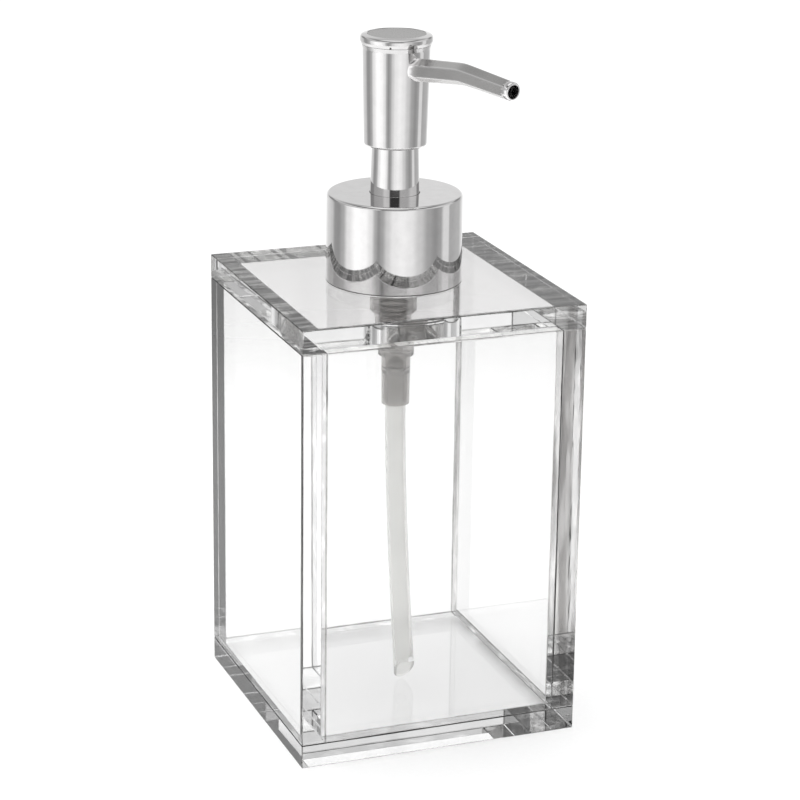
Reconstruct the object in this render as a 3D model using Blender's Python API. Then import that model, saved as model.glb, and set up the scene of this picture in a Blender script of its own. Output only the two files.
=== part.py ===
"""Soap pump dispenser: a square bottle of cemented clear acrylic sheet with a screw-on chromed lotion pump.

Metres, +Z up. The origin is the centre of the bottle's underside, and the pump's axis is the Z axis.
Every length below is written in millimetres and scaled by MM where the mesh is made.
"""

import math

import bmesh
import bpy
from mathutils import Vector

MM = 0.001

# Bottle
BOTTLE_WIDTH = 72.0
BOTTLE_HEIGHT = 111.0
SHEET = 6.0
SHEET_CHAMFER = 0.25
GAP = 0.3

# Threaded neck, cemented into the top plate
NECK_HOLE_R = 12.5
NECK_BORE_R = 10.25
NECK_ROOT_R = 12.55
NECK_FLANGE_R = 14.1
NECK_FLANGE_TOP = 112.6
NECK_TOP = 121.0
THREAD_PITCH = 4.23
THREAD_TURNS = 1.4
THREAD_START = 113.7
NECK_CREST_R = 13.7
LINER_CREST_R = 12.95
LINER_ROOT_R = 14.1
RIDGE_BASE_HALF = 0.95
RIDGE_CREST_HALF = 0.45
GASKET_BOTTOM = 121.3
GASKET_TOP = 122.5

# Pump housing and what it holds
FLANGE_R = 12.4
FLANGE_BOTTOM = 122.8
FLANGE_TOP = 124.3
HOUSING_R = 5.85
HOUSING_BORE_R = 5.0
HOUSING_SHOULDER = 98.7
SPRING_SEAT = 99.0
SOCKET_BOTTOM = 79.5
SOCKET_PORT_R = 1.4
# (radius, height): the barrel's outside below its shoulder, and the ball's seat, chamber and retaining lip
HOUSING_FOOT = [(4.6, 97.3), (4.45, 92.3), (3.65, 91.9), (3.48, SOCKET_BOTTOM)]
INLET_CHAMBER = [(1.4, 88.0), (2.6, 89.2), (2.6, 93.2), (1.75, 93.7), (1.75, 94.3), (3.2, 95.4)]
INLET_BALL_R = 2.0
INLET_BALL_Z = 89.85
STEM_R = 3.0
STEM_BORE_R = 1.6
STEM_BOTTOM = 116.0
STEM_TOP = 163.0
OUTLET_BALL_R = 2.0
OUTLET_BALL_REST = 1.65
SEAL_BOTTOM = 116.3
SEAL_TOP = 120.0
SEAL_WAIST_R = 4.1
SEAL_LIP_DROP = 0.5
SEAL_LIP_HEIGHT = 1.2
FOOT_PLUG_TOP = 118.6
FOOT_FLANGE_R = 4.4
FOOT_FLANGE_BOTTOM = 114.8
FOOT_BORE_R = 0.9
# (radius, height) of the tapered tip under the foot's flange
FOOT_TIP = [(2.6, FOOT_FLANGE_BOTTOM), (2.2, 111.4)]

# Return spring
SPRING_R = 3.75
SPRING_WIRE_R = 0.35
SPRING_TURNS = 6

# Dip tube: TUBE_END is the middle of its slanted lower end, which opens towards TUBE_CUT_TOWARD
TUBE_R = 2.6
TUBE_BORE_R = 1.9
TUBE_TOP = 87.3
TUBE_STRAIGHT_TO = 79.0
TUBE_END = (1.1, -5.7, 9.6)
TUBE_LEAN_POWER = 1.6
TUBE_CUT_TOWARD = -90.0
TUBE_CUT_SLOPE = 1.2

# Chaplet and sleeve
CHAPLET_TOP = 134.0
CHAPLET_R = 4.6
CHAPLET_FLANGE_R = 8.4
CHAPLET_FLANGE_TOP = 126.1
CHAPLET_BOTTOM = 120.8
SLEEVE_BORE_R = 4.9
SLEEVE_BASE_R = 6.1
SLEEVE_TOP_R = 5.65
SLEEVE_TOP = 147.3
SLEEVE_BOTTOM = 126.5
SLEEVE_FLANGE_R = 8.6
SLEEVE_FLANGE_BOTTOM = 130.2
SLEEVE_FLANGE_TOP = 131.6

# Collar
COLLAR_R = 16.8
COLLAR_TOP_R = 16.65
COLLAR_TOP = 133.0
COLLAR_WALL = 0.9
COLLAR_ROOF = 1.1
LINER_R = 15.55
LINER_BOTTOM = 113.0
LINER_TOP = 131.5
LINER_UPPER_BORE_R = 14.5
LINER_SHELF_BOTTOM = 124.6
LINER_SHELF_TOP = 126.4
LINER_HOLE_R = 9.0

# Head
HEAD_BOTTOM = 144.8
HEAD_BOTTOM_R = 7.66
HEAD_NECK_Z = 169.0
HEAD_NECK_R = 8.28
HEAD_BORE_R = 6.5
HEAD_WAIST_Z = 160.0
HEAD_LIP = 0.4
CAP_BOTTOM_R = 8.35
RIM_R = 8.84
RIM_Z = 171.1
HEAD_TOP = 172.1
CORE_TOP = 169.3
CORE_BOTTOM = 158.4
CORE_CAVITY_R = 2.5
CORE_CAVITY_TOP = 167.9
CORE_PORT_R = 1.25

# Spout: a hexagonal tapered arm that rises to its bend and then falls a little
SPOUT_TOWARD = -72.0
SPOUT_ROOT = (6.9, 164.3)
SPOUT_BEND = (25.5, 166.3)
SPOUT_RING = (41.2, 165.15)
SPOUT_TIP = (42.9, 165.0)
SPOUT_ROOT_R = 2.85
SPOUT_FLARE = 0.9
SPOUT_FLARE_LENGTH = 2.6
SPOUT_BEND_R = 2.65
SPOUT_END_R = 2.4
SPOUT_RING_R = 2.3
SPOUT_BORE_R = 1.6
LINER_TUBE_R = 1.3
LINER_TUBE_BORE_R = 0.85

FINE = 48
COARSE = 32
TINY = 20


def clear_scene():
    for item in list(bpy.data.objects):
        bpy.data.objects.remove(item, do_unlink=True)


def principled(name, colour, roughness, metallic=0.0, transmission=0.0, ior=1.5):
    """One plain material for each kind of stuff, shared by name."""
    known = bpy.data.materials.get(name)
    if known:
        return known
    material = bpy.data.materials.new(name)
    material.use_nodes = True
    shader = material.node_tree.nodes["Principled BSDF"]
    shader.inputs["Base Color"].default_value = (*colour, 1.0)
    shader.inputs["Roughness"].default_value = roughness
    shader.inputs["Metallic"].default_value = metallic
    shader.inputs["Transmission Weight"].default_value = transmission
    shader.inputs["IOR"].default_value = ior
    return material


def acrylic():
    return principled("clear_acrylic", (0.95, 0.95, 0.95), 0.03, transmission=1.0, ior=1.49)


def chrome():
    return principled("polished_chrome", (0.62, 0.61, 0.61), 0.06, metallic=1.0)


def white_plastic():
    return principled("white_polypropylene", (0.86, 0.86, 0.85), 0.4)


def clear_plastic():
    return principled("translucent_polyethylene", (0.72, 0.72, 0.71), 0.35, transmission=0.5)


def steel():
    return principled("stainless_steel", (0.55, 0.54, 0.53), 0.25, metallic=1.0)


def rubber():
    return principled("grey_gasket_foam", (0.45, 0.45, 0.45), 0.8)


def finish(name, mesh, material, smooth=True):
    """Turns a bmesh in millimetres into a named object, with its faces pointing out."""
    bmesh.ops.remove_doubles(mesh, verts=mesh.verts, dist=1e-5)
    bmesh.ops.recalc_face_normals(mesh, faces=mesh.faces)
    bmesh.ops.scale(mesh, vec=(MM, MM, MM), verts=mesh.verts)
    data = bpy.data.meshes.new(name)
    mesh.to_mesh(data)
    mesh.free()
    data.materials.append(material)
    item = bpy.data.objects.new(name, data)
    bpy.context.collection.objects.link(item)
    if smooth:
        data.shade_smooth()
        data.set_sharp_from_angle(angle=math.radians(35))
    return item


def box(name, low, high, material, chamfer=SHEET_CHAMFER):
    """A sheet between two opposite corners, with its edges broken."""
    mesh = bmesh.new()
    bmesh.ops.create_cube(mesh, size=1.0)
    size = [h - l for l, h in zip(low, high)]
    centre = [(h + l) / 2 for l, h in zip(low, high)]
    bmesh.ops.scale(mesh, vec=size, verts=mesh.verts)
    bmesh.ops.translate(mesh, vec=centre, verts=mesh.verts)
    if chamfer:
        bmesh.ops.bevel(mesh, geom=mesh.edges, offset=chamfer, segments=1, affect="EDGES")
    return finish(name, mesh, material, smooth=False)


def turned(name, outline, material, segments=COARSE):
    """Turns an outline of (radius, height) points about Z.

    The outline is a closed ring of points, or starts and ends on the axis for a solid piece.
    """
    mesh = bmesh.new()
    on_axis = outline[0][0] == 0.0
    verts = [mesh.verts.new((r, 0.0, z)) for r, z in outline]
    edges = [mesh.edges.new(pair) for pair in zip(verts, verts[1:])]
    if not on_axis:
        edges.append(mesh.edges.new((verts[-1], verts[0])))
    bmesh.ops.spin(
        mesh, geom=verts + edges, cent=(0, 0, 0), axis=(0, 0, 1),
        angle=2 * math.pi, steps=segments, use_merge=True,
    )
    return finish(name, mesh, material)


def ball(name, radius, height, material):
    mesh = bmesh.new()
    bmesh.ops.create_uvsphere(mesh, u_segments=TINY, v_segments=12, radius=radius)
    bmesh.ops.translate(mesh, vec=(0, 0, height), verts=mesh.verts)
    return finish(name, mesh, material)


def skin(mesh, rings, closed=False):
    """Joins equal rings of points into a tube, with flat end caps unless it is closed on itself."""
    rows = [[mesh.verts.new(point) for point in ring] for ring in rings]
    pairs = list(zip(rows, rows[1:]))
    if closed:
        pairs.append((rows[-1], rows[0]))
    for a, b in pairs:
        for i in range(len(a)):
            j = (i + 1) % len(a)
            mesh.faces.new((a[i], a[j], b[j], b[i]))
    if not closed:
        mesh.faces.new(rows[0])
        mesh.faces.new(rows[-1])


def thread_ridge(name, wall_r, crest_r, start_z, material):
    """A screw thread's ridge, which fades into its wall at both ends.

    Its section is a trapezium from just inside the wall to the crest.
    """
    steps = int(FINE * THREAD_TURNS)
    lead = 5
    bury = math.copysign(0.35, wall_r - crest_r)
    rings = []
    for i in range(steps + 1):
        share = i / steps
        angle = 2 * math.pi * THREAD_TURNS * share
        z = start_z + THREAD_PITCH * THREAD_TURNS * share
        rise = min(1.0, i / lead, (steps - i) / lead)
        top = wall_r + (crest_r - wall_r) * max(rise, 0.08)
        section = ((wall_r + bury, -RIDGE_BASE_HALF), (top, -RIDGE_CREST_HALF), (top, RIDGE_CREST_HALF),
                   (wall_r + bury, RIDGE_BASE_HALF))
        rings.append([(r * math.cos(angle), r * math.sin(angle), z + dz) for r, dz in section])
    mesh = bmesh.new()
    skin(mesh, rings)
    return as_cutter(finish(name, mesh, material, smooth=False))


def as_cutter(item):
    item.hide_render = True
    item.display_type = "WIRE"
    return item


def boolean(item, other, operation):
    modifier = item.modifiers.new(f"{operation.lower()} {other.name}", "BOOLEAN")
    modifier.operation = operation
    modifier.solver = "EXACT"
    modifier.object = other
    return item


def make_bottle():
    """Six acrylic sheets: base and top plates over the walls, side walls full depth, ends between them."""
    half = BOTTLE_WIDTH / 2
    inner = half - SHEET
    low, high = SHEET + GAP, BOTTLE_HEIGHT - SHEET - GAP
    clear = acrylic()
    box("base_plate", (-half, -half, 0), (half, half, SHEET), clear)
    top = box("top_plate", (-half, -half, BOTTLE_HEIGHT - SHEET), (half, half, BOTTLE_HEIGHT), clear)
    hole = turned(
        "neck_hole_cutter",
        [(0.0, BOTTLE_HEIGHT + 2), (NECK_HOLE_R, BOTTLE_HEIGHT + 2),
         (NECK_HOLE_R, BOTTLE_HEIGHT - SHEET - 2), (0.0, BOTTLE_HEIGHT - SHEET - 2)],
        clear, FINE,
    )
    boolean(top, as_cutter(hole), "DIFFERENCE")
    box("left_wall", (-half, -half, low), (-inner, half, high), clear)
    box("right_wall", (inner, -half, low), (half, half, high), clear)
    box("front_wall", (-inner + GAP, -half, low), (inner - GAP, -inner, high), clear)
    box("back_wall", (-inner + GAP, inner, low), (inner - GAP, half, high), clear)


def make_neck():
    """The threaded insert: a spigot in the plate's hole, a seating flange and a screw thread, under a gasket."""
    spigot_r = NECK_HOLE_R - GAP
    seat = BOTTLE_HEIGHT + GAP
    neck = turned(
        "threaded_neck",
        [(NECK_BORE_R, NECK_TOP), (NECK_ROOT_R - 0.3, NECK_TOP), (NECK_ROOT_R, NECK_TOP - 0.3),
         (NECK_ROOT_R, NECK_FLANGE_TOP), (NECK_FLANGE_R, NECK_FLANGE_TOP), (NECK_FLANGE_R, seat),
         (spigot_r, seat), (spigot_r, BOTTLE_HEIGHT - SHEET + GAP), (NECK_BORE_R, BOTTLE_HEIGHT - SHEET + GAP)],
        acrylic(), FINE,
    )
    ridge = thread_ridge("neck_thread_ridge", NECK_ROOT_R, NECK_CREST_R, THREAD_START, acrylic())
    boolean(neck, ridge, "UNION")
    turned(
        "neck_gasket",
        [(NECK_BORE_R, GASKET_TOP), (FLANGE_R, GASKET_TOP), (FLANGE_R, GASKET_BOTTOM),
         (NECK_BORE_R, GASKET_BOTTOM)],
        rubber(), FINE,
    )


def make_housing():
    """The pump barrel: a stepped tube under a flange, with the inlet ball's seat above the dip tube's socket."""
    turned(
        "pump_housing",
        [(HOUSING_BORE_R, FLANGE_TOP), (FLANGE_R, FLANGE_TOP), (FLANGE_R, FLANGE_BOTTOM),
         (HOUSING_R + 0.6, FLANGE_BOTTOM), (HOUSING_R, FLANGE_BOTTOM - 1.2), (HOUSING_R, HOUSING_SHOULDER)]
        + HOUSING_FOOT
        + [(TUBE_R + GAP, SOCKET_BOTTOM), (TUBE_R + GAP, TUBE_TOP + GAP), (SOCKET_PORT_R, TUBE_TOP + GAP)]
        + INLET_CHAMBER
        + [(INLET_CHAMBER[-1][0], SPRING_SEAT), (HOUSING_BORE_R, SPRING_SEAT)],
        clear_plastic(), COARSE,
    )
    ball("inlet_ball", INLET_BALL_R, INLET_BALL_Z, steel())


def tube_centre(share):
    """The dip tube's centre line below its socket: it leans out as a power of the share of its height."""
    lean = share ** TUBE_LEAN_POWER
    height = TUBE_STRAIGHT_TO + (TUBE_END[2] - TUBE_STRAIGHT_TO) * share
    return Vector((TUBE_END[0] * lean, TUBE_END[1] * lean, height))


def make_dip_tube():
    """A slightly bent tube whose lower end is cut on a slant, so that the base can't close it."""
    bends = 10
    centres = [Vector((0, 0, TUBE_TOP))] + [tube_centre(i / bends) for i in range(bends + 1)]
    toward = math.radians(TUBE_CUT_TOWARD)
    opening = Vector((math.cos(toward), math.sin(toward), 0))
    mesh = bmesh.new()

    def ring(index, radius):
        points = []
        for k in range(TINY):
            a = 2 * math.pi * k / TINY
            out = Vector((math.cos(a), math.sin(a), 0)) * radius
            drop = TUBE_CUT_SLOPE * out.dot(opening) if index == len(centres) - 1 else 0.0
            points.append(centres[index] + out + Vector((0, 0, drop)))
        return points

    outer = [ring(i, TUBE_R) for i in range(len(centres))]
    inner = [ring(i, TUBE_BORE_R) for i in reversed(range(len(centres)))]
    skin(mesh, outer + inner, closed=True)
    finish("dip_tube", mesh, clear_plastic())


def make_spring():
    """A helix of round wire with a closed coil at each end, standing in the barrel under the piston."""
    bottom = SPRING_SEAT + GAP + SPRING_WIRE_R
    top = FOOT_FLANGE_BOTTOM - GAP - SPRING_WIRE_R
    steps = 14 * SPRING_TURNS
    sides = 6
    wire = 2 * SPRING_WIRE_R + 0.1
    rings = []
    for i in range(steps + 1):
        turn = SPRING_TURNS * i / steps
        middle = (turn - 1) / (SPRING_TURNS - 2)
        if turn < 1:
            z = bottom + wire * turn
        elif turn > SPRING_TURNS - 1:
            z = top - wire * (SPRING_TURNS - turn)
        else:
            z = bottom + wire + (top - bottom - 2 * wire) * middle
        a = 2 * math.pi * turn
        ring = []
        for k in range(sides):
            b = 2 * math.pi * k / sides
            r = SPRING_R + SPRING_WIRE_R * math.cos(b)
            ring.append((r * math.cos(a), r * math.sin(a), z + SPRING_WIRE_R * math.sin(b)))
        rings.append(ring)
    mesh = bmesh.new()
    skin(mesh, rings)
    finish("return_spring", mesh, steel())


def make_piston():
    """The hollow stem, its sliding seal, the foot that holds the seal on, and the outlet ball on top."""
    turned(
        "piston_stem",
        [(STEM_BORE_R, STEM_TOP), (STEM_R, STEM_TOP), (STEM_R, STEM_BOTTOM), (STEM_BORE_R, STEM_BOTTOM)],
        white_plastic(), COARSE,
    )
    turned(
        "piston_seal",
        [(STEM_R + GAP, SEAL_TOP), (SEAL_WAIST_R, SEAL_TOP), (HOUSING_BORE_R - GAP, SEAL_TOP - SEAL_LIP_DROP),
         (SEAL_WAIST_R, SEAL_TOP - SEAL_LIP_HEIGHT), (SEAL_WAIST_R, SEAL_BOTTOM + SEAL_LIP_HEIGHT),
         (HOUSING_BORE_R - GAP, SEAL_BOTTOM + SEAL_LIP_DROP), (SEAL_WAIST_R, SEAL_BOTTOM),
         (STEM_R + GAP, SEAL_BOTTOM)],
        rubber(), COARSE,
    )
    turned(
        "piston_foot",
        [(FOOT_BORE_R, FOOT_PLUG_TOP), (STEM_BORE_R - GAP, FOOT_PLUG_TOP), (STEM_BORE_R - GAP, STEM_BOTTOM - GAP),
         (FOOT_FLANGE_R, STEM_BOTTOM - GAP), (FOOT_FLANGE_R, FOOT_FLANGE_BOTTOM)]
        + FOOT_TIP
        + [(FOOT_BORE_R, FOOT_TIP[-1][1])],
        white_plastic(), COARSE,
    )
    ball("outlet_ball", OUTLET_BALL_R, STEM_TOP + OUTLET_BALL_REST, steel())


def make_guides():
    """The chaplet that closes the housing and guides the stem, and the chromed sleeve over it."""
    turned(
        "chaplet",
        [(STEM_R + GAP, CHAPLET_TOP), (CHAPLET_R - 0.2, CHAPLET_TOP), (CHAPLET_R, CHAPLET_TOP - 0.6),
         (CHAPLET_R, CHAPLET_FLANGE_TOP), (CHAPLET_FLANGE_R, CHAPLET_FLANGE_TOP),
         (CHAPLET_FLANGE_R, FLANGE_TOP + GAP), (HOUSING_BORE_R - GAP, FLANGE_TOP + GAP),
         (HOUSING_BORE_R - GAP, CHAPLET_BOTTOM), (STEM_R + GAP, CHAPLET_BOTTOM)],
        white_plastic(), COARSE,
    )
    turned(
        "neck_sleeve",
        [(SLEEVE_BORE_R, SLEEVE_TOP), (SLEEVE_TOP_R - 0.3, SLEEVE_TOP), (SLEEVE_TOP_R, SLEEVE_TOP - 0.3),
         (SLEEVE_BASE_R, SLEEVE_FLANGE_TOP), (SLEEVE_FLANGE_R, SLEEVE_FLANGE_TOP),
         (SLEEVE_FLANGE_R, SLEEVE_FLANGE_BOTTOM), (SLEEVE_BASE_R, SLEEVE_FLANGE_BOTTOM),
         (SLEEVE_BASE_R, SLEEVE_BOTTOM), (SLEEVE_BORE_R, SLEEVE_BOTTOM)],
        chrome(), COARSE,
    )


def make_collar():
    """The screw closure: a white threaded liner inside a chromed metal shell."""
    liner = turned(
        "collar_liner",
        [(LINER_UPPER_BORE_R, LINER_TOP), (LINER_R, LINER_TOP), (LINER_R, LINER_BOTTOM),
         (LINER_ROOT_R, LINER_BOTTOM), (LINER_ROOT_R, LINER_SHELF_BOTTOM), (LINER_HOLE_R, LINER_SHELF_BOTTOM),
         (LINER_HOLE_R, LINER_SHELF_TOP), (LINER_UPPER_BORE_R, LINER_SHELF_TOP)],
        white_plastic(), FINE,
    )
    start = THREAD_START + THREAD_PITCH / 2
    ridge = thread_ridge("liner_thread_ridge", LINER_ROOT_R, LINER_CREST_R, start, white_plastic())
    boolean(liner, ridge, "UNION")
    seat = BOTTLE_HEIGHT + GAP
    hole_r = SLEEVE_BASE_R + GAP
    turned(
        "collar_shell",
        [(hole_r, COLLAR_TOP), (COLLAR_TOP_R - 0.5, COLLAR_TOP), (COLLAR_TOP_R, COLLAR_TOP - 0.5),
         (COLLAR_R, seat + 0.3), (COLLAR_R - 0.3, seat), (COLLAR_R - COLLAR_WALL, seat),
         (COLLAR_TOP_R - COLLAR_WALL, COLLAR_TOP - COLLAR_ROOF), (hole_r, COLLAR_TOP - COLLAR_ROOF)],
        chrome(), FINE,
    )


def spout_frame():
    toward = math.radians(SPOUT_TOWARD)
    along = Vector((math.cos(toward), math.sin(toward), 0))
    across = Vector((-along.y, along.x, 0))
    return along, across


def spout_ring(point, radius, sides, lean=0.0):
    """A ring of the spout's section at (reach, height); lean tips it out of the vertical, in radians.

    With six sides two flats stand upright and two ridges run along its top and bottom.
    """
    along, across = spout_frame()
    up = Vector((0, 0, math.cos(lean))) - along * math.sin(lean)
    centre = along * point[0] + Vector((0, 0, point[1]))
    ring = []
    for k in range(sides):
        a = 2 * math.pi * k / sides
        ring.append(centre + up * (radius * math.cos(a)) + across * (radius * math.sin(a)))
    return ring


def pitch(start, end):
    return math.atan2(end[1] - start[1], end[0] - start[0])


def make_head():
    """The chromed head: shell and spout cast in one, a core that carries the flow, and a domed cap."""
    rise = pitch(SPOUT_ROOT, SPOUT_BEND)
    fall = pitch(SPOUT_BEND, SPOUT_TIP)
    metal = chrome()
    shell = turned(
        "head_shell",
        [(HEAD_BORE_R, HEAD_NECK_Z + HEAD_LIP), (HEAD_NECK_R + 0.15, HEAD_NECK_Z + HEAD_LIP),
         (HEAD_NECK_R, HEAD_NECK_Z), (HEAD_NECK_R - 0.25, HEAD_WAIST_Z), (HEAD_BOTTOM_R, HEAD_BOTTOM + 0.6),
         (HEAD_BOTTOM_R - 0.5, HEAD_BOTTOM), (HEAD_BORE_R, HEAD_BOTTOM)],
        metal, FINE,
    )
    mesh = bmesh.new()
    root_slope = Vector((math.cos(rise), math.sin(rise)))
    flare = Vector(SPOUT_ROOT) + SPOUT_FLARE_LENGTH * root_slope
    skin(mesh, [
        spout_ring(SPOUT_ROOT, SPOUT_ROOT_R + SPOUT_FLARE, 6),
        spout_ring(flare, SPOUT_ROOT_R, 6, rise),
        spout_ring(SPOUT_BEND, SPOUT_BEND_R, 6, (rise + fall) / 2),
        spout_ring(SPOUT_RING, SPOUT_END_R, 6, fall),
    ])
    boolean(shell, as_cutter(finish("spout_arm", mesh, metal, smooth=False)), "UNION")
    mesh = bmesh.new()
    back = Vector(SPOUT_RING) - Vector((1.0, 0.0))
    skin(mesh, [spout_ring(back, SPOUT_RING_R - 0.35, TINY, fall), spout_ring(SPOUT_RING, SPOUT_RING_R, TINY, fall),
                spout_ring(SPOUT_TIP, SPOUT_RING_R - 0.1, TINY, fall)])
    boolean(shell, as_cutter(finish("spout_ring", mesh, metal, smooth=False)), "UNION")
    mesh = bmesh.new()
    inside = (5.0, SPOUT_ROOT[1])
    past = (SPOUT_TIP[0] + 2.0, SPOUT_TIP[1] - 0.15)
    skin(mesh, [spout_ring(inside, SPOUT_BORE_R, TINY), spout_ring(SPOUT_ROOT, SPOUT_BORE_R, TINY, rise / 2),
                spout_ring(SPOUT_BEND, SPOUT_BORE_R, TINY, (rise + fall) / 2),
                spout_ring(past, SPOUT_BORE_R, TINY, fall)])
    boolean(shell, as_cutter(finish("spout_bore_cutter", mesh, metal, smooth=False)), "DIFFERENCE")

    core = turned(
        "head_core",
        [(0.0, CORE_TOP), (HEAD_BORE_R - 0.5, CORE_TOP), (HEAD_BORE_R - GAP, CORE_TOP - 0.3),
         (HEAD_BORE_R - GAP, CORE_BOTTOM), (STEM_R + GAP, CORE_BOTTOM), (STEM_R + GAP, STEM_TOP + GAP),
         (CORE_CAVITY_R, STEM_TOP + GAP), (CORE_CAVITY_R, CORE_CAVITY_TOP), (0.0, CORE_CAVITY_TOP)],
        white_plastic(), COARSE,
    )
    mesh = bmesh.new()
    port_end = (8.0, SPOUT_ROOT[1])
    skin(mesh, [spout_ring((1.0, SPOUT_ROOT[1]), CORE_PORT_R, TINY), spout_ring(port_end, CORE_PORT_R, TINY)])
    boolean(core, as_cutter(finish("core_port_cutter", mesh, white_plastic(), smooth=False)), "DIFFERENCE")

    cap_bottom = HEAD_NECK_Z + HEAD_LIP + GAP
    drop = HEAD_TOP - RIM_Z
    shoulder = [(RIM_R - 1.5 + 1.5 * math.sin(a), RIM_Z + drop * math.cos(a))
                for a in (math.radians(d) for d in (0, 18, 36, 54, 72, 90))]
    turned(
        "head_top_cap",
        [(0.0, HEAD_TOP)] + shoulder + [(RIM_R - 0.15, RIM_Z - 0.7), (CAP_BOTTOM_R, cap_bottom), (0.0, cap_bottom)],
        metal, FINE,
    )
    mesh = bmesh.new()
    start = (SPOUT_ROOT[0] + 0.2, SPOUT_ROOT[1])
    stop = (SPOUT_TIP[0] - 3.0, SPOUT_BEND[1] + (SPOUT_TIP[0] - 3.0 - SPOUT_BEND[0]) * math.tan(fall))
    path = ((start, rise), (SPOUT_BEND, (rise + fall) / 2), (stop, fall))
    outer = [spout_ring(p, LINER_TUBE_R, TINY, lean) for p, lean in path]
    inner = [spout_ring(p, LINER_TUBE_BORE_R, TINY, lean) for p, lean in reversed(path)]
    skin(mesh, outer + inner, closed=True)
    finish("spout_liner", mesh, clear_plastic())


clear_scene()
make_bottle()
make_neck()
make_housing()
make_dip_tube()
make_spring()
make_piston()
make_guides()
make_collar()
make_head()
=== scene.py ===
"""The looks of a soap pump dispenser: a cemented acrylic bottle with a chromed lotion pump."""

import math

import bmesh
import bpy
import numpy as np
from mathutils import Matrix, Vector


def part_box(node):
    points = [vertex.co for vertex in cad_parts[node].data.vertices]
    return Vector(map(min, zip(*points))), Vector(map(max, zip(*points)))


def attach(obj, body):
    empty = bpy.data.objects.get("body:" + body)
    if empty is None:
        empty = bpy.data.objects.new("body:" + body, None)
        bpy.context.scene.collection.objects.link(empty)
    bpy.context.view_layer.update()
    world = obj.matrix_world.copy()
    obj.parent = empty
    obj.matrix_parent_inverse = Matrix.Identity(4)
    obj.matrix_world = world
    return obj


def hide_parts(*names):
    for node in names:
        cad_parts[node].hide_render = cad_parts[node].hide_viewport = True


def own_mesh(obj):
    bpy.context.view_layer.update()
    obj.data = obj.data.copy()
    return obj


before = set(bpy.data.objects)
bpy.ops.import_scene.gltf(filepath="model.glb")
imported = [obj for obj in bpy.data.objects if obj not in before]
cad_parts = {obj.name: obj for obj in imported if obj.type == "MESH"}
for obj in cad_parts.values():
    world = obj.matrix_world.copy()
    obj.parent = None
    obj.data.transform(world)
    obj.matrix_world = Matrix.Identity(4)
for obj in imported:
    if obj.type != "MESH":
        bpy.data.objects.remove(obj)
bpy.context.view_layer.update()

# ---------------------------------------------------------------------------------------------
# The camera: a long lens at a little above the pump's height, turned to the bottle's left.
mm = 0.001
azimuth, elevation, roll = (math.radians(a) for a in (-21.08, 18.14, 0.775))
right = Vector((math.cos(azimuth), math.sin(azimuth), 0))
back = Vector((math.sin(azimuth) * math.cos(elevation), -math.cos(azimuth) * math.cos(elevation),
               math.sin(elevation)))
up = back.cross(right)
side = right * math.cos(roll) + up * math.sin(roll)
top = up * math.cos(roll) - right * math.sin(roll)
eye = Vector((0, 0, 79.46 * mm)) + side * 1.98 * mm + back * 692.5 * mm
camera = bpy.data.objects.new("camera", bpy.data.cameras.new("camera"))
camera.data.sensor_width = 36
camera.data.lens = 124.54
camera.data.clip_start = 0.05
camera.matrix_world = Matrix.Translation(eye) @ Matrix((side, top, back)).transposed().to_4x4()
bpy.context.scene.collection.objects.link(camera)
bpy.context.scene.camera = camera
bpy.context.scene.view_settings.view_transform = "Standard"
bpy.context.scene.cycles.transparent_max_bounces = 24
bpy.context.scene.cycles.max_bounces = 24
bpy.context.scene.cycles.transmission_bounces = 24


# ---------------------------------------------------------------------------------------------
# The studio: brightness by direction, in a ring at the horizon and below, a dimmer ring above it and
# a ceiling. Polished metal shows its light and dark stretches as upright bands, and the acrylic's edges
# pick them up too. The camera itself sees plain white behind the object.
def put(tree, kind, inputs=None, **settings):
    """Adds a node. inputs maps a socket's name or number to a value or to another node's output."""
    item = tree.nodes.new(kind)
    for name, value in settings.items():
        setattr(item, name, value)
    for name, value in (inputs or {}).items():
        if isinstance(value, bpy.types.NodeSocket):
            tree.links.new(value, item.inputs[name])
        else:
            item.inputs[name].default_value = value
    return item


def ramp(tree, factor, stops, interpolation="LINEAR"):
    """A colour ramp of (position, grey or colour) stops."""
    item = put(tree, "ShaderNodeValToRGB", {0: factor})
    item.color_ramp.interpolation = interpolation
    keys = item.color_ramp.elements
    while len(keys) < len(stops):
        keys.new(0.5)
    for key, (position, value) in zip(keys, stops):
        key.position = position
        key.color = (value, value, value, 1) if isinstance(value, (int, float)) else (*value, 1)
    return item.outputs["Color"]


world = bpy.data.worlds.new("studio")
world.use_nodes = True
bpy.context.scene.world = world
tree = world.node_tree
tree.nodes.clear()
# (degrees to the right of the camera, brightness): 180 is straight behind the object
studio_ring = [(-180, 0.97), (-162, 0.97), (-146, 0.8), (-130, 0.7), (-118, 0.38), (-108, 0.36),
               (-96, 0.5), (-84, 1.0), (-66, 1.36), (-50, 1.26), (-39, 1.0), (-31, 0.5), (-26, 0.36),
               (-20, 0.46), (-11, 0.8), (-1, 1.04), (14, 1.14), (28, 1.04), (44, 0.76), (60, 0.46),
               (74, 0.36), (85, 0.44), (93, 0.86), (104, 0.86), (108, 0.5), (140, 0.56), (152, 0.8),
               (162, 0.97), (180, 0.97)]
direction = put(tree, "ShaderNodeTexCoord").outputs["Generated"]
turned_way = put(tree, "ShaderNodeMapping", {"Vector": direction, "Rotation": (0, 0, math.pi - azimuth)})
axes = put(tree, "ShaderNodeSeparateXYZ", {0: turned_way.outputs[0]})
angle = put(tree, "ShaderNodeMath", {0: axes.outputs["X"], 1: axes.outputs["Y"]}, operation="ARCTAN2")
share = put(tree, "ShaderNodeMapRange", {"Value": angle.outputs[0], "From Min": -math.pi,
                                         "From Max": math.pi})
ring = ramp(tree, share.outputs[0], sorted((0.5 - a / 360, b / 2) for a, b in studio_ring), "EASE")
doubled = put(tree, "ShaderNodeVectorMath", {0: ring, 1: (2, 2, 2)}, operation="MULTIPLY")
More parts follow.
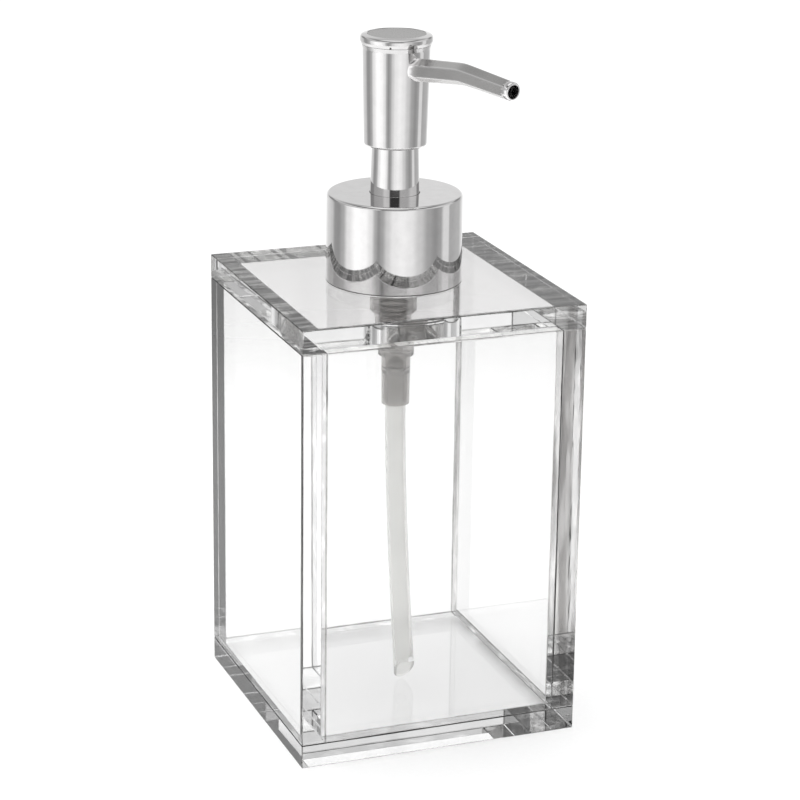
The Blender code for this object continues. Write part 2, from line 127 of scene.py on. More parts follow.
# above the horizon it darkens, with a dark gap of 19 degrees to each side of the camera
upper_ring = [(-180, 0.76), (-162, 0.76), (-145, 0.3), (-120, 0.32), (-105, 0.5), (-62, 0.55),
              (-45, 0.85), (-28, 0.8), (-19, 0.05), (19, 0.05), (28, 0.55), (60, 0.55), (85, 0.78),
              (115, 0.75), (130, 0.32), (147, 0.3), (162, 0.82), (180, 0.82)]
upper = ramp(tree, share.outputs[0], sorted((0.5 - a / 360, b) for a, b in upper_ring), "EASE")
risen = put(tree, "ShaderNodeMapRange", {"Value": axes.outputs["Z"], "From Min": 0.08, "From Max": 0.2},
            interpolation_type="SMOOTHSTEP")
walls = put(tree, "ShaderNodeMix", {0: risen.outputs[0], 6: doubled.outputs[0], 7: upper},
            data_type="RGBA")
height = put(tree, "ShaderNodeMapRange", {"Value": axes.outputs["Z"], "From Min": 0.4, "From Max": 0.52},
             interpolation_type="SMOOTHSTEP")
front_ceiling = ramp(tree, axes.outputs["Z"], [(0.45, 0.95), (0.56, 1.1), (0.66, 0.14), (0.84, 0.12),
                                               (0.95, 1.1)])
rear_ceiling = ramp(tree, axes.outputs["Z"], [(0.45, 0.75), (0.58, 0.6), (0.7, 0.45), (0.82, 0.4),
                                              (0.95, 1.1)])
rear = put(tree, "ShaderNodeMapRange", {"Value": axes.outputs["Y"], "From Min": 0.2, "From Max": -0.3},
           interpolation_type="SMOOTHSTEP")
ceiling = put(tree, "ShaderNodeMix", {0: rear.outputs[0], 6: front_ceiling, 7: rear_ceiling},
              data_type="RGBA")
with_sky = put(tree, "ShaderNodeMix", {0: height.outputs[0], 6: walls.outputs[2], 7: ceiling.outputs[2]},
               data_type="RGBA")
camera_ray = put(tree, "ShaderNodeLightPath").outputs["Is Camera Ray"]
seen = put(tree, "ShaderNodeMix", {0: camera_ray, 6: with_sky.outputs[2], 7: (1.1, 1.1, 1.1, 1)},
           data_type="RGBA")
glow = put(tree, "ShaderNodeBackground", {"Color": seen.outputs[2], "Strength": 1.0})
put(tree, "ShaderNodeOutputWorld", {0: glow.outputs[0]})

lamp = bpy.data.objects.new("overhead_softbox", bpy.data.lights.new("overhead_softbox", "AREA"))
lamp.data.shape = "DISK"
lamp.data.size = 0.9
lamp.data.energy = 13
lamp.location = (-0.1, 0.1, 1.3)
lamp.visible_glossy = False
lamp.visible_transmission = False
bpy.context.scene.collection.objects.link(lamp)


# ---------------------------------------------------------------------------------------------
# The table: a plain white round top whose rim fades into the backdrop.
def quads_over(index):
    """The quads between neighbours in a grid of point numbers."""
    return np.stack([index[:-1, :-1], index[:-1, 1:], index[1:, 1:], index[1:, :-1]], -1).reshape(-1, 4)


def weld(mesh):
    """Merges coinciding points, which closes seams and poles, and turns the faces outwards."""
    work = bmesh.new()
    work.from_mesh(mesh)
    bmesh.ops.remove_doubles(work, verts=work.verts, dist=1e-6)
    bmesh.ops.recalc_face_normals(work, faces=work.faces)
    work.to_mesh(mesh)
    work.free()


def surface(name, points, wrap_rows=False, wrap_columns=True, polish=None):
    """A mesh of quads over a grid of points, rows by columns by xyz, in metres.

    polish, a number for each point, is kept on the mesh for its material.
    """
    rows, columns = points.shape[:2]
    index = np.arange(rows * columns).reshape(rows, columns)
    if wrap_rows:
        index = np.vstack([index, index[:1]])
    if wrap_columns:
        index = np.hstack([index, index[:, :1]])
    mesh = bpy.data.meshes.new(name)
    mesh.from_pydata(points.reshape(-1, 3).tolist(), [], quads_over(index).tolist())
    if polish is not None:
        kept = mesh.attributes.new("polish", "FLOAT", "POINT").data
        kept.foreach_set("value", polish.astype(np.float32).ravel())
    weld(mesh)
    mesh.shade_smooth()
    item = bpy.data.objects.new(name, mesh)
    bpy.context.scene.collection.objects.link(item)
    return item


def material(name):
    """An empty node material and its tree."""
    made = bpy.data.materials.new(name)
    made.use_nodes = True
    made.node_tree.nodes.clear()
    return made, made.node_tree


table_r = 0.42
turn = np.linspace(0, 2 * np.pi, 97)[:-1]
reach = np.linspace(0, table_r, 15)[:, None]
table_z = -0.1 * mm
table_grid = [reach * np.cos(turn), reach * np.sin(turn), table_z + 0 * reach * turn]
table_top = surface("table_top", np.stack(table_grid, -1))
# matt and nearly white, with a faint speck about 1 mm across
table_white, tree = material("white_table_laminate")
place = put(tree, "ShaderNodeTexCoord").outputs["Object"]
far = put(tree, "ShaderNodeVectorMath", {0: place}, operation="LENGTH").outputs["Value"]
fade = put(tree, "ShaderNodeMapRange", {"Value": far, "From Min": 0.2, "From Max": table_r - 0.01},
           interpolation_type="SMOOTHSTEP")
speck = put(tree, "ShaderNodeTexNoise", {"Vector": place, "Scale": 900.0, "Detail": 2.0}).outputs[0]
white = ramp(tree, speck, [(0.3, 0.93), (0.7, 0.95)])
laminate = put(tree, "ShaderNodeBsdfPrincipled", {"Base Color": white, "Roughness": 0.6})
clear = put(tree, "ShaderNodeBsdfTransparent")
mixed = put(tree, "ShaderNodeMixShader", {0: fade.outputs[0], 1: laminate.outputs[0], 2: clear.outputs[0]})
put(tree, "ShaderNodeOutputMaterial", {0: mixed.outputs[0]})
table_top.data.materials.append(table_white)


# ---------------------------------------------------------------------------------------------
# The bottle: six sheets of cast acrylic, flame-polished and solvent-cemented into a square box.
# The plates cover the walls, the side walls run full depth and the other two stand between them.
# Light passes a cemented joint as if it were not there; only the sheets' rounded edges show.
def linear(code):
    """A colour written as six sRGB hex digits, as linear red, green and blue."""
    parts = (int(code[i:i + 2], 16) / 255 for i in (0, 2, 4))
    return tuple(c / 12.92 if c <= 0.04045 else ((c + 0.055) / 1.055) ** 2.4 for c in parts)


acrylic_ior = 1.49


def let_light_in(tree, shader, shade=0.998):
    """Lets lamp light and bounced light pass a clear material straight, dimmed to shade, and outputs it."""
    path = put(tree, "ShaderNodeLightPath")
    indirect = put(tree, "ShaderNodeMath", {0: path.outputs["Is Shadow Ray"],
                                            1: path.outputs["Is Diffuse Ray"]}, operation="MAXIMUM")
    straight = put(tree, "ShaderNodeBsdfTransparent", {"Color": (shade, shade, shade, 1)})
    either = put(tree, "ShaderNodeMixShader", {0: indirect.outputs[0], 1: shader.outputs[0],
                                               2: straight.outputs[0]})
    put(tree, "ShaderNodeOutputMaterial", {0: either.outputs[0]})


def cast_acrylic(name, wave_scale, wave_height, dark="FCFCFC", light="FCFCFC"):
    """Clear acrylic: a faint surface haze, and waves of wave_height metres left by the polishing.

    wave_scale is the waves per metre along x, y and z. The waves also tint it from dark to light, a painted
    shade where the two colours differ.
    """
    made, tree = material(name)
    place = put(tree, "ShaderNodeTexCoord").outputs["Object"]
    haze = put(tree, "ShaderNodeTexNoise", {"Vector": place, "Scale": 60.0, "Detail": 4.0}).outputs[0]
    dull = put(tree, "ShaderNodeMapRange", {"Value": haze, "From Min": 0.45, "From Max": 0.8,
                                            "To Min": 0.0, "To Max": 0.035}).outputs[0]
    stretched = put(tree, "ShaderNodeMapping", {"Vector": place, "Scale": wave_scale}).outputs[0]
    waves = put(tree, "ShaderNodeTexNoise", {"Vector": stretched, "Scale": 1.0, "Detail": 3.0}).outputs[0]
    bumped = put(tree, "ShaderNodeBump", {"Height": waves, "Distance": wave_height, "Strength": 1.0})
    tint = ramp(tree, waves, [(0.4, linear(dark)), (0.6, linear(light))])
    shader = put(tree, "ShaderNodeBsdfPrincipled", {
        "Base Color": tint, "Roughness": dull, "IOR": acrylic_ior,
        "Transmission Weight": 1.0, "Normal": bumped.outputs[0]})
    let_light_in(tree, shader)
    return made


# The faces are calm, with waves about 125 mm long, and the top plate's are a shade greyer, which is painted
# shade. The plates' edges have waves 9 mm wide and the walls' edges softer ones of 20 mm, both faintly
# mottled with painted shade, and the right wall's sawn edges show as bundled streaks 2.4 mm apart and 36 mm
# long, whose dark grey is painted shade. The rounded edges draw the outlines as thin lines of painted grey
# shade with a mottling of 11 mm, and the corners inside the box draw them fainter.
polished_face = cast_acrylic("cast_acrylic_polished_face", (8, 8, 8), 0.00002)
plate_face_painted_shade = cast_acrylic("cast_acrylic_plate_face_painted_shade", (8, 8, 8), 0.00002, "F0EFEF", "F7F6F6")
plate_edge_painted_shade = cast_acrylic("cast_acrylic_plate_edge_painted_shade", (110, 110, 30), 0.00002, "F2F2F2", "FEFEFE")
wall_edge_painted_shade = cast_acrylic("cast_acrylic_wall_edge_painted_shade", (50, 50, 20), 0.00001, "F8F8F8", "FDFDFD")
sawn_edge_painted_shade = cast_acrylic("cast_acrylic_sawn_edge_painted_shade", (420, 420, 28), 0.00005, "6C6A69", "E6E5E4")
rounded_edge_painted_shade = cast_acrylic("cast_acrylic_rounded_corner_painted_shade", (90, 90, 90), 0.00002, "6A6867", "C8C7C6")
inner_corner_painted_shade = cast_acrylic("cast_acrylic_inner_corner_painted_shade", (90, 90, 90), 0.00002, "C4C3C2", "F6F6F5")


def cement_joint(name, saw_marks, milky, film=0.0, shade=0.86, shaded_below=True):
    """A cemented joint: light passes straight on, but where the cement missed the sawn edge it scatters.

    saw_marks is the hatching's waves per metre along x, y and z. milky is how strongly the missed
    places scatter, and film how strongly the rest does. shade is how dark the swirls' painted shade is,
    and shaded_below says whether the joint has that shade near the bottle's foot too. There it never
    scatters.
    """
    foot_height = 50 * mm
    made, tree = material(name)
    place = put(tree, "ShaderNodeTexCoord").outputs["Object"]
    blotch = put(tree, "ShaderNodeTexNoise", {"Vector": place, "Scale": 130.0, "Detail": 3.0,
                                              "Distortion": 0.7}).outputs[0]
    swirls = ramp(tree, blotch, [(0.5, 0.0), (0.56, milky * 0.5), (0.6, 0.05 * milky), (0.7, milky)])
    high = put(tree, "ShaderNodeSeparateXYZ", {0: place}).outputs["Z"]
    at_top = put(tree, "ShaderNodeMath", {0: high, 1: foot_height}, operation="GREATER_THAN").outputs[0]
    stretched = put(tree, "ShaderNodeMapping", {"Vector": place, "Scale": saw_marks}).outputs[0]
    saw = put(tree, "ShaderNodeTexNoise", {"Vector": stretched, "Scale": 1.0, "Detail": 1.0}).outputs[0]
    hatch = ramp(tree, saw, [(0.42, film * 0.2), (0.46, film), (0.54, film), (0.58, film + milky * 0.6)])
    missed = put(tree, "ShaderNodeMix", {0: 1.0, 6: swirls, 7: hatch}, data_type="RGBA", blend_type="ADD")
    # painted shade: the swirls darken the light that passes the joint
    tint = ramp(tree, blotch, [(0.5, shade), (0.64, 1.0)])
    if not shaded_below:
        tint = put(tree, "ShaderNodeMix", {0: at_top, 6: (1, 1, 1, 1), 7: tint}, data_type="RGBA").outputs[2]
    straight = put(tree, "ShaderNodeBsdfTransparent", {"Color": tint})
    scattered = put(tree, "ShaderNodeBsdfDiffuse", {"Color": (*linear("E8E8E6"), 1)})
    amount = put(tree, "ShaderNodeMath", {0: missed.outputs[2], 1: at_top}, operation="MULTIPLY").outputs[0]
    mixed = put(tree, "ShaderNodeMixShader", {0: amount, 1: straight.outputs[0], 2: scattered.outputs[0]})
    put(tree, "ShaderNodeOutputMaterial", {0: mixed.outputs[0]})
    return made


# Every joint has swirls about 8 mm across, whose darkening is painted shade. Under the plates and in the
# corners it is a faint painted shade. Along the side walls it is a nearly black painted shade. The walls'
# joints have saw marks 2.4 mm apart, faint along the side walls and strongly milky along the end walls.
plate_cement = cement_joint("cement_under_plate", (300, 300, 300), 0.0)
left_wall_cement_painted_shade = cement_joint("cement_along_left_wall_painted_shade", (30, 420, 30), 0.2, film=0.1, shade=0.12,
                                shaded_below=False)
right_wall_cement_painted_shade = cement_joint("cement_along_right_wall_painted_shade", (30, 420, 30), 0.2, film=0.1, shade=0.12)
end_wall_cement = cement_joint("cement_along_end_wall", (420, 30, 30), 0.3, film=0.68)
corner_cement = cement_joint("cement_in_corner", (500, 500, 40), 0.0)

base_low, base_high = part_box("base_plate")
outer = (base_high.x - base_low.x) / 2
thick = base_high.z
inner = outer - thick
bottle_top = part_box("top_plate")[1].z
under_top = bottle_top - thick
sheets = {
    "base": ((-outer, -outer, 0), (outer, outer, thick)),
    "top": ((-outer, -outer, under_top), (outer, outer, bottle_top)),
    "left": ((-outer, -outer, thick), (-inner, outer, under_top)),
    "right": ((inner, -outer, thick), (outer, outer, under_top)),
    "front": ((-inner, -outer, thick), (inner, -inner, under_top)),
    "back": ((-inner, inner, thick), (inner, outer, under_top)),
}
edge_round = 0.25 * mm
look_out = 0.05 * mm
joint_planes = ((-inner, inner), (-inner, inner), (thick, under_top))


def acrylic_sheet(part):
    """A rounded box. On each of its six sides a point is its flat place plus edge_round times a unit vector
    that leans from the side's own normal by up to 45 degrees towards each edge, so the sides meet exactly.

    Sides are cut at the joint planes, and a cell with another sheet look_out in front of it is cemented.
    A cell's kind is the number of its material: face, edge, joint, upright joint, rounded edge, inner corner.
    """
    low, high = (np.array(c) for c in sheets[part])
    middle, half = (low + high) / 2, (high - low) / 2
    thin = int(np.argmin(half))
    lean = np.tan(np.radians(np.linspace(0, 45, 4)))
    places, leans = [], []
    for axis in range(3):
        flat = half[axis] - edge_round
        cuts = [c - middle[axis] for c in joint_planes[axis] if abs(c - middle[axis]) < flat - mm]
        places.append(np.concatenate([[-flat] * 4, cuts, [flat] * 4]))
        leans.append(np.concatenate([-lean[::-1], [0] * len(cuts), lean]))
    corners, faces, kinds = [], [], []
    for axis in range(3):
        b, c = (axis + 1) % 3, (axis + 2) % 3
        at_b, at_c = np.meshgrid(places[b], places[c], indexing="ij")
        to_b, to_c = np.meshgrid(leans[b], leans[c], indexing="ij")
        for sign in (-1, 1):
            way = np.zeros(at_b.shape + (3,))
            way[..., axis], way[..., b], way[..., c] = sign, to_b, to_c
            way /= np.linalg.norm(way, axis=-1, keepdims=True)
            spot = np.zeros_like(way)
            spot[..., axis], spot[..., b], spot[..., c] = sign * (half[axis] - edge_round), at_b, at_c
            spot = spot + way * edge_round + middle
            index = np.arange(at_b.size).reshape(at_b.shape) + sum(len(p) for p in corners)
            cells = quads_over(index)
            corners.append(spot.reshape(-1, 3))
            faces.append(cells)
            points = np.concatenate(corners)[cells]
            centre = points.mean(1)
            outward = np.zeros(3)
            outward[axis] = sign * look_out
            level = np.ptp(points[..., axis], axis=1) < 1e-9
            against = np.zeros(len(cells), bool)
            for other, (o_low, o_high) in sheets.items():
                if other != part:
                    probe = centre + outward
                    against |= ((probe > np.array(o_low)) & (probe < np.array(o_high))).all(1)
            curved = (abs(to_b) + abs(to_c)).ravel()[cells - index.min()].max(1) > 0
            deep = ((abs(centre[:, :2]).max(1) < outer - mm)
                    & (abs(centre[:, 2] - bottle_top / 2) < bottle_top / 2 - mm))
            kind = np.where(curved, np.where(deep, 5, 4), 0 if axis == thin else 1)
            kinds.append(np.where(against & level, 2 if axis == 2 else 3, kind))
    mesh = bpy.data.meshes.new(f"acrylic_{part}")
    mesh.from_pydata(np.concatenate(corners).tolist(), [], np.concatenate(faces).tolist())
    mesh.polygons.foreach_set("material_index", np.concatenate(kinds).astype(np.int32))
    weld(mesh)
    edge = {"base": plate_edge_painted_shade, "top": plate_edge_painted_shade, "right": sawn_edge_painted_shade}.get(part, wall_edge_painted_shade)
    joint = {"left": left_wall_cement_painted_shade, "right": right_wall_cement_painted_shade, "front": end_wall_cement,
             "back": end_wall_cement}.get(part, plate_cement)
    face = plate_face_painted_shade if part == "top" else polished_face
    for kind in (face, edge, joint, corner_cement, rounded_edge_painted_shade, inner_corner_painted_shade):
        mesh.materials.append(kind)
    item = bpy.data.objects.new(f"acrylic_{part}", mesh)
    bpy.context.scene.collection.objects.link(item)
    return item


bottle_sheets = {part: acrylic_sheet(part) for part in sheets}
hole_r = 12.5 * mm
hole_turn = np.linspace(0, 2 * np.pi, 129)[:-1]
hole_rows = np.array([[0, 1], [1, 1], [1, -1], [0, -1]])
drill = surface("neck_drill", np.stack([
    hole_r * hole_rows[:, :1] * np.cos(hole_turn), hole_r * hole_rows[:, :1] * np.sin(hole_turn),
    (under_top + thick / 2 + thick * hole_rows[:, 1:]) + 0 * hole_turn], -1))
drill.data.shade_flat()
for kind in (plate_face_painted_shade, plate_edge_painted_shade, plate_cement, corner_cement, rounded_edge_painted_shade, inner_corner_painted_shade):
    drill.data.materials.append(kind)
drilled = bottle_sheets["top"].modifiers.new("neck hole", "BOOLEAN")
drilled.object = drill
drilled.operation = "DIFFERENCE"
drilled.solver = "EXACT"
bpy.context.view_layer.update()
cut_mesh = bpy.data.meshes.new_from_object(
    bottle_sheets["top"].evaluated_get(bpy.context.evaluated_depsgraph_get()))
bottle_sheets["top"].modifiers.clear()
bottle_sheets["top"].data = cut_mesh
bpy.data.objects.remove(drill)
for part, item in bottle_sheets.items():
    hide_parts(f"{part}_{'plate' if part in ('base', 'top') else 'wall'}")
    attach(item, "bottle")


# ---------------------------------------------------------------------------------------------
# The threaded neck: a clear acrylic insert cemented into the top plate, with a 28 mm screw, turned
# round the pump's axis. The pump's flange seals on it with a grey ring. It hides under the collar.
def rounded(outline):
    """A closed outline of (radius, height, fillet) corners in mm, with each corner turned into an arc.

    The arc's centre lies on the corner's bisector at fillet / sin(half the corner's angle), and its ends at
    fillet / tan(half the angle) along the two sides. One more point just past each end keeps the flats flat.
    """
    spots = np.array([corner[:2] for corner in outline], float)
    out = []
    neighbours = zip(spots, np.roll(spots, 1, 0), np.roll(spots, -1, 0), outline)
    for here, before, after, (_, _, fillet) in neighbours:
        u = (before - here) / np.linalg.norm(before - here)
        v = (after - here) / np.linalg.norm(after - here)
        half_angle = math.acos(float(np.clip(u @ v, -1, 1))) / 2
        if not fillet or half_angle > 1.55:
            out.append(here[None])
            continue
        reach = fillet / math.tan(half_angle)
        centre = here + (u + v) / np.linalg.norm(u + v) * fillet / math.sin(half_angle)
        start, stop = here + u * reach - centre, here + v * reach - centre
        sweep = math.pi - 2 * half_angle
        k = np.linspace(0, 1, 4 + int(sweep * 4))[:, None]
        arc = (np.sin((1 - k) * sweep) * start + np.sin(k * sweep) * stop) / math.sin(sweep)
        ease = 0.15 * fillet
        out += [(here + u * (reach + ease))[None], centre + arc, (here + v * (reach + ease))[None]]
    return np.concatenate(out)


def turned(name, outline, body, finish, nodes, segments=96):
    """A turned piece: the filleted outline carried round the pump's axis."""
    line = rounded(outline) * mm
    around = np.linspace(0, 2 * np.pi, segments + 1)[:-1]
    r, z = line[:, :1], line[:, 1:]
    item = surface(name, np.stack([r * np.cos(around), r * np.sin(around), z + 0 * around], -1),
                   wrap_rows=True)
    item.data.materials.append(finish)
    item.data.set_sharp_from_angle(angle=math.radians(40))
    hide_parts(*nodes)
    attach(item, body)
    return item


def moulded(name, colour, roughness, transmission=0.0, grain=900.0, bump=0.000004):
    """A moulded plastic: flow mottling about 6 mm across, and a fine grain, bump metres deep.

    grain is its waves per metre, so 900 gives one of 1.1 mm.
    """
    made, tree = material(name)
    place = put(tree, "ShaderNodeTexCoord").outputs["Object"]
    flow = put(tree, "ShaderNodeTexNoise", {"Vector": place, "Scale": 180.0, "Detail": 3.0}).outputs[0]
    shade = np.array(linear(colour))
    tint = ramp(tree, flow, [(0.3, tuple(shade * 0.95)), (0.7, tuple(np.minimum(shade * 1.03, 1)))])
    fine = put(tree, "ShaderNodeTexNoise", {"Vector": place, "Scale": grain, "Detail": 2.0}).outputs[0]
    bumped = put(tree, "ShaderNodeBump", {"Height": fine, "Distance": bump, "Strength": 1.0})
    shader = put(tree, "ShaderNodeBsdfPrincipled", {
        "Base Color": tint, "Roughness": roughness, "IOR": 1.5, "Transmission Weight": transmission,
        "Normal": bumped.outputs[0]})
    if transmission:
        let_light_in(tree, shader, shade=0.8)
    else:
        put(tree, "ShaderNodeOutputMaterial", {0: shader.outputs[0]})
    return made


# opaque white with a soft sheen, and for the neck clear acrylic that shows little but its edges
polypropylene = moulded("moulded_white_polypropylene", "ECECEA", 0.38)
clear_neck = moulded("moulded_clear_acrylic", "F4F4F3", 0.04, 0.97)
pitch = 4.23
seat = bottle_top / mm + 0.05
neck_top, neck_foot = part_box("threaded_neck")[1].z / mm, under_top / mm + 0.1
root_r, crest_r, neck_bore = 12.55, 13.7, 10.25
turned("screw_neck", [
    (neck_bore, neck_top, 0.4), (root_r, neck_top, 0.4), (root_r, 112.6, 0.3), (14.1, 112.6, 0.3),
    (14.1, seat, 0.2), (12.45, seat, 0.05), (12.45, neck_foot, 0.3), (neck_bore, neck_foot, 0.3),
], "bottle", clear_neck, ["threaded_neck"])


def screw_ridge(name, wall_r, crest, low_z, body, finish, node, turns=1.4):
    """A screw thread: a trapezium section sunk into its wall, carried up a helix and faded at both ends."""
    along = np.linspace(0, 1, int(turns * 72))[:, None]
    swell = np.clip(np.minimum(along, 1 - along) * turns * 8, 0, 1) ** 0.5
    sunk = math.copysign(0.25, wall_r - crest)
    section = np.array([(wall_r + sunk, -0.9), (wall_r, -0.75), (crest, -0.38), (crest, 0.38), (wall_r, 0.75),
                        (wall_r + sunk, 0.9)])
    r = wall_r + sunk + (section[:, 0] - wall_r - sunk) * swell
    dz = section[:, 1] * swell
    a = 2 * np.pi * turns * along
    z = low_z + pitch * turns * along + dz
    item = surface(name, np.stack([r * np.cos(a), r * np.sin(a), z], -1) * mm)
    item.data.set_sharp_from_angle(angle=math.radians(30))
    item.data.materials.append(finish)
    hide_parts(node)
    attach(item, body)


thread_start = 113.7
screw_ridge("neck_screw_thread", root_r, crest_r, thread_start, "bottle", clear_neck,
            "threaded_neck")
# dull mid grey, with cells of 0.4 mm
foam = moulded("grey_sealing_foam", "77777A", 0.85, grain=2500.0, bump=0.00002)
turned("gasket_ring", [
    (neck_bore, 122.6, 0.25), (12.4, 122.6, 0.25), (12.4, 121.2, 0.25), (neck_bore, 121.2, 0.25),
], "pump", foam, ["neck_gasket"])


# ---------------------------------------------------------------------------------------------
# The pump barrel: milky polyethylene, moulded in steps. Its flange sits under the collar, the ball's
# seat is where it narrows, and the dip tube is pushed into its lower end.
# see-through but greyish, so that the barrel's steps show as bands
cloudy = moulded("moulded_cloudy_polyethylene", "C9C7C5", 0.1, 0.88)
turned("pump_barrel", [
    (5.0, 124.3, 0.2), (12.4, 124.3, 0.3), (12.4, 122.8, 0.3), (6.45, 122.8, 0.3), (5.85, 121.6, 0.5),
    (5.85, 98.7, 0.5), (4.6, 97.3, 0.4), (4.45, 92.3, 0.15), (3.65, 91.9, 0.2), (3.48, 79.5, 0.25),
    (2.9, 79.5, 0.15), (2.85, 87.6, 0.1), (1.4, 87.6, 0.1), (1.4, 88.0, 0.1), (2.6, 89.2, 0.2),
    (2.6, 93.2, 0.2), (1.75, 93.7, 0.1), (1.75, 94.3, 0.1), (3.2, 95.4, 0.3), (3.2, 99.0, 0.15),
    (5.0, 99.0, 0.2),
], "pump", cloudy, ["pump_housing"])


def metal(name, colour, roughness, spread=0.03, grain=400.0, polished=None):
    """A metal whose roughness wanders a little over its surface; grain is the pattern's waves per metre.

    polished is the colour it turns to where the mesh's polish attribute is 1, with a roughness of buffed;
    where that colour is brighter, it is a painted highlight.
    """
    buffed = 0.05
    made, tree = material(name)
    place = put(tree, "ShaderNodeTexCoord").outputs["Object"]
    wander = put(tree, "ShaderNodeTexNoise", {"Vector": place, "Scale": grain, "Detail": 4.0}).outputs[0]
    rough = put(tree, "ShaderNodeMapRange", {"Value": wander, "From Min": 0.3, "From Max": 0.7,
                                             "To Min": roughness, "To Max": roughness + spread}).outputs[0]
    shade = np.array(linear(colour))
    tint = ramp(tree, wander, [(0.3, tuple(shade * 0.96)), (0.7, tuple(np.minimum(shade * 1.03, 1)))])
    if polished:
        polish_and_painted_highlight = put(tree, "ShaderNodeAttribute", attribute_name="polish").outputs["Fac"]
        tint = put(tree, "ShaderNodeMix", {0: polish_and_painted_highlight, 6: tint, 7: (*linear(polished), 1)},
                   data_type="RGBA").outputs[2]
        rough = put(tree, "ShaderNodeMix", {0: polish_and_painted_highlight, 2: rough, 3: buffed}).outputs[0]
    shader = put(tree, "ShaderNodeBsdfPrincipled", {"Base Color": tint, "Roughness": rough, "Metallic": 1.0})
    put(tree, "ShaderNodeOutputMaterial", {0: shader.outputs[0]})
    return made


# bright, with soft reflections that wander over 2.5 mm
bright_steel = metal("bright_stainless_steel", "C4C3C1", 0.12)


def valve_ball(name, node, body):
    """A bearing ball: a sphere over latitude and longitude, as wide as its CAD node."""
    low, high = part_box(node)
    centre, radius = (low + high) / 2, (high.x - low.x) / 2
    lift = np.linspace(-np.pi / 2, np.pi / 2, 25)[:, None]
    a = np.linspace(0, 2 * np.pi, 49)[:-1]
    globe = np.stack([np.cos(lift) * np.cos(a), np.cos(lift) * np.sin(a), np.sin(lift) + 0 * a], -1)
    item = surface(name, globe * radius + np.array(centre))
    item.data.materials.append(bright_steel)
    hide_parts(node)
    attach(item, body)


valve_ball("inlet_valve_ball", "inlet_ball", "inlet_valve")
valve_ball("outlet_valve_ball", "outlet_ball", "outlet_valve")


# ---------------------------------------------------------------------------------------------
# The dip tube: soft milky polyethylene, extruded, a little bent from the coil it was cut from,
# with its lower end cut on a slant so that the base plate can't close it.
# whitish and partly clear
milky = moulded("extruded_milky_polyethylene", "F6F6F4", 0.12, 0.78)
tube_top, tube_straight, tube_end = 87.3, 79.0, (1.1, -5.7, 10.1)
tube_r, tube_bore = 2.6, 1.9
share = np.linspace(0, 1, 49)
lean = share ** 1.6
middle = np.stack([tube_end[0] * lean, tube_end[1] * lean,
                   tube_straight + (tube_end[2] - tube_straight) * share], -1)
middle = np.vstack([[0, 0, tube_top], middle])
around = np.linspace(0, 2 * np.pi, 49)[:-1]
cut_toward, cut_slope = math.radians(-90), 1.45
opening = np.cos(around - cut_toward)


def tube_skin(radius):
    """The tube's wall at one radius: circles about its middle line, the last one slanted by the cut."""
    rows = np.stack([middle[:, :1] + radius * np.cos(around), middle[:, 1:2] + radius * np.sin(around),
                     middle[:, 2:] + 0 * around], -1)
    rows[-1, :, 2] += cut_slope * radius * opening
    rows[-2, :, 2] += 0.3 * radius * opening
    return rows


tube = surface("dip_tube_soft", np.concatenate([tube_skin(tube_r), tube_skin(tube_bore)[::-1]]) * mm,
               wrap_rows=True)
tube.data.set_sharp_from_angle(angle=math.radians(35))
tube.data.materials.append(milky)
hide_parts("dip_tube")
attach(tube, "pump")


# ---------------------------------------------------------------------------------------------
# The return spring: stainless wire wound on a mandrel, with a closed coil at each end.
# It shortens as the head is pressed.
spring_low, spring_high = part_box("return_spring")
wire_r, coil_r, coils = 0.35, 3.75, 6
bottom, top_z = spring_low.z / mm + wire_r, spring_high.z / mm - wire_r
turns_at = np.linspace(0, coils, coils * 40 + 1)[:, None]
closed = 2 * wire_r + 0.1
rise = np.interp(turns_at, [0, 1, coils - 1, coils], [bottom, bottom + closed, top_z - closed, top_z])
wrap = np.linspace(0, 2 * np.pi, 13)[:-1]
taper = np.clip(np.minimum(turns_at, coils - turns_at) * 200, 0, 1)
coil = coil_r + wire_r * taper * np.cos(wrap)
spring_grid = np.stack([coil * np.cos(2 * np.pi * turns_at), coil * np.sin(2 * np.pi * turns_at),
                        rise + wire_r * taper * np.sin(wrap)], -1)
spring = surface("wound_spring", spring_grid * mm)
spring.data.materials.append(bright_steel)
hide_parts("return_spring")
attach(spring, "pump")
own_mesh(spring)


# ---------------------------------------------------------------------------------------------
# The piston: a hollow white stem with a soft double-lipped seal, held on by a ported foot.
turned("stem_tube", [(1.6, 163.0, 0.2), (3.0, 163.0, 0.3), (3.0, 116.0, 0.2), (1.6, 116.0, 0.2)],
       "piston", polypropylene, ["piston_stem"], segments=64)
turned("lip_seal", [
    (3.1, 120.0, 0.1), (4.1, 120.0, 0.2), (4.75, 119.5, 0.1), (4.1, 118.8, 0.4), (4.1, 117.5, 0.4),
    (4.75, 116.8, 0.1), (4.1, 116.3, 0.2), (3.1, 116.3, 0.1),
], "piston", foam, ["piston_seal"], segments=64)
turned("ported_foot", [
    (0.9, 118.6, 0.1), (1.5, 118.6, 0.2), (1.5, 115.9, 0.1), (4.4, 115.9, 0.2), (4.4, 114.8, 0.2),
    (2.6, 114.8, 0.1), (2.2, 111.4, 0.4), (0.9, 111.4, 0.2),
], "piston", polypropylene, ["piston_foot"], segments=64)
turned("stem_guide", [
    (3.2, 134.0, 0.2), (4.5, 134.0, 0.4), (4.6, 126.1, 0.3), (8.4, 126.1, 0.4), (8.4, 124.5, 0.2),
    (4.8, 124.5, 0.1), (4.8, 120.8, 0.4), (3.2, 120.8, 0.2),
], "pump", polypropylene, ["chaplet"], segments=64)


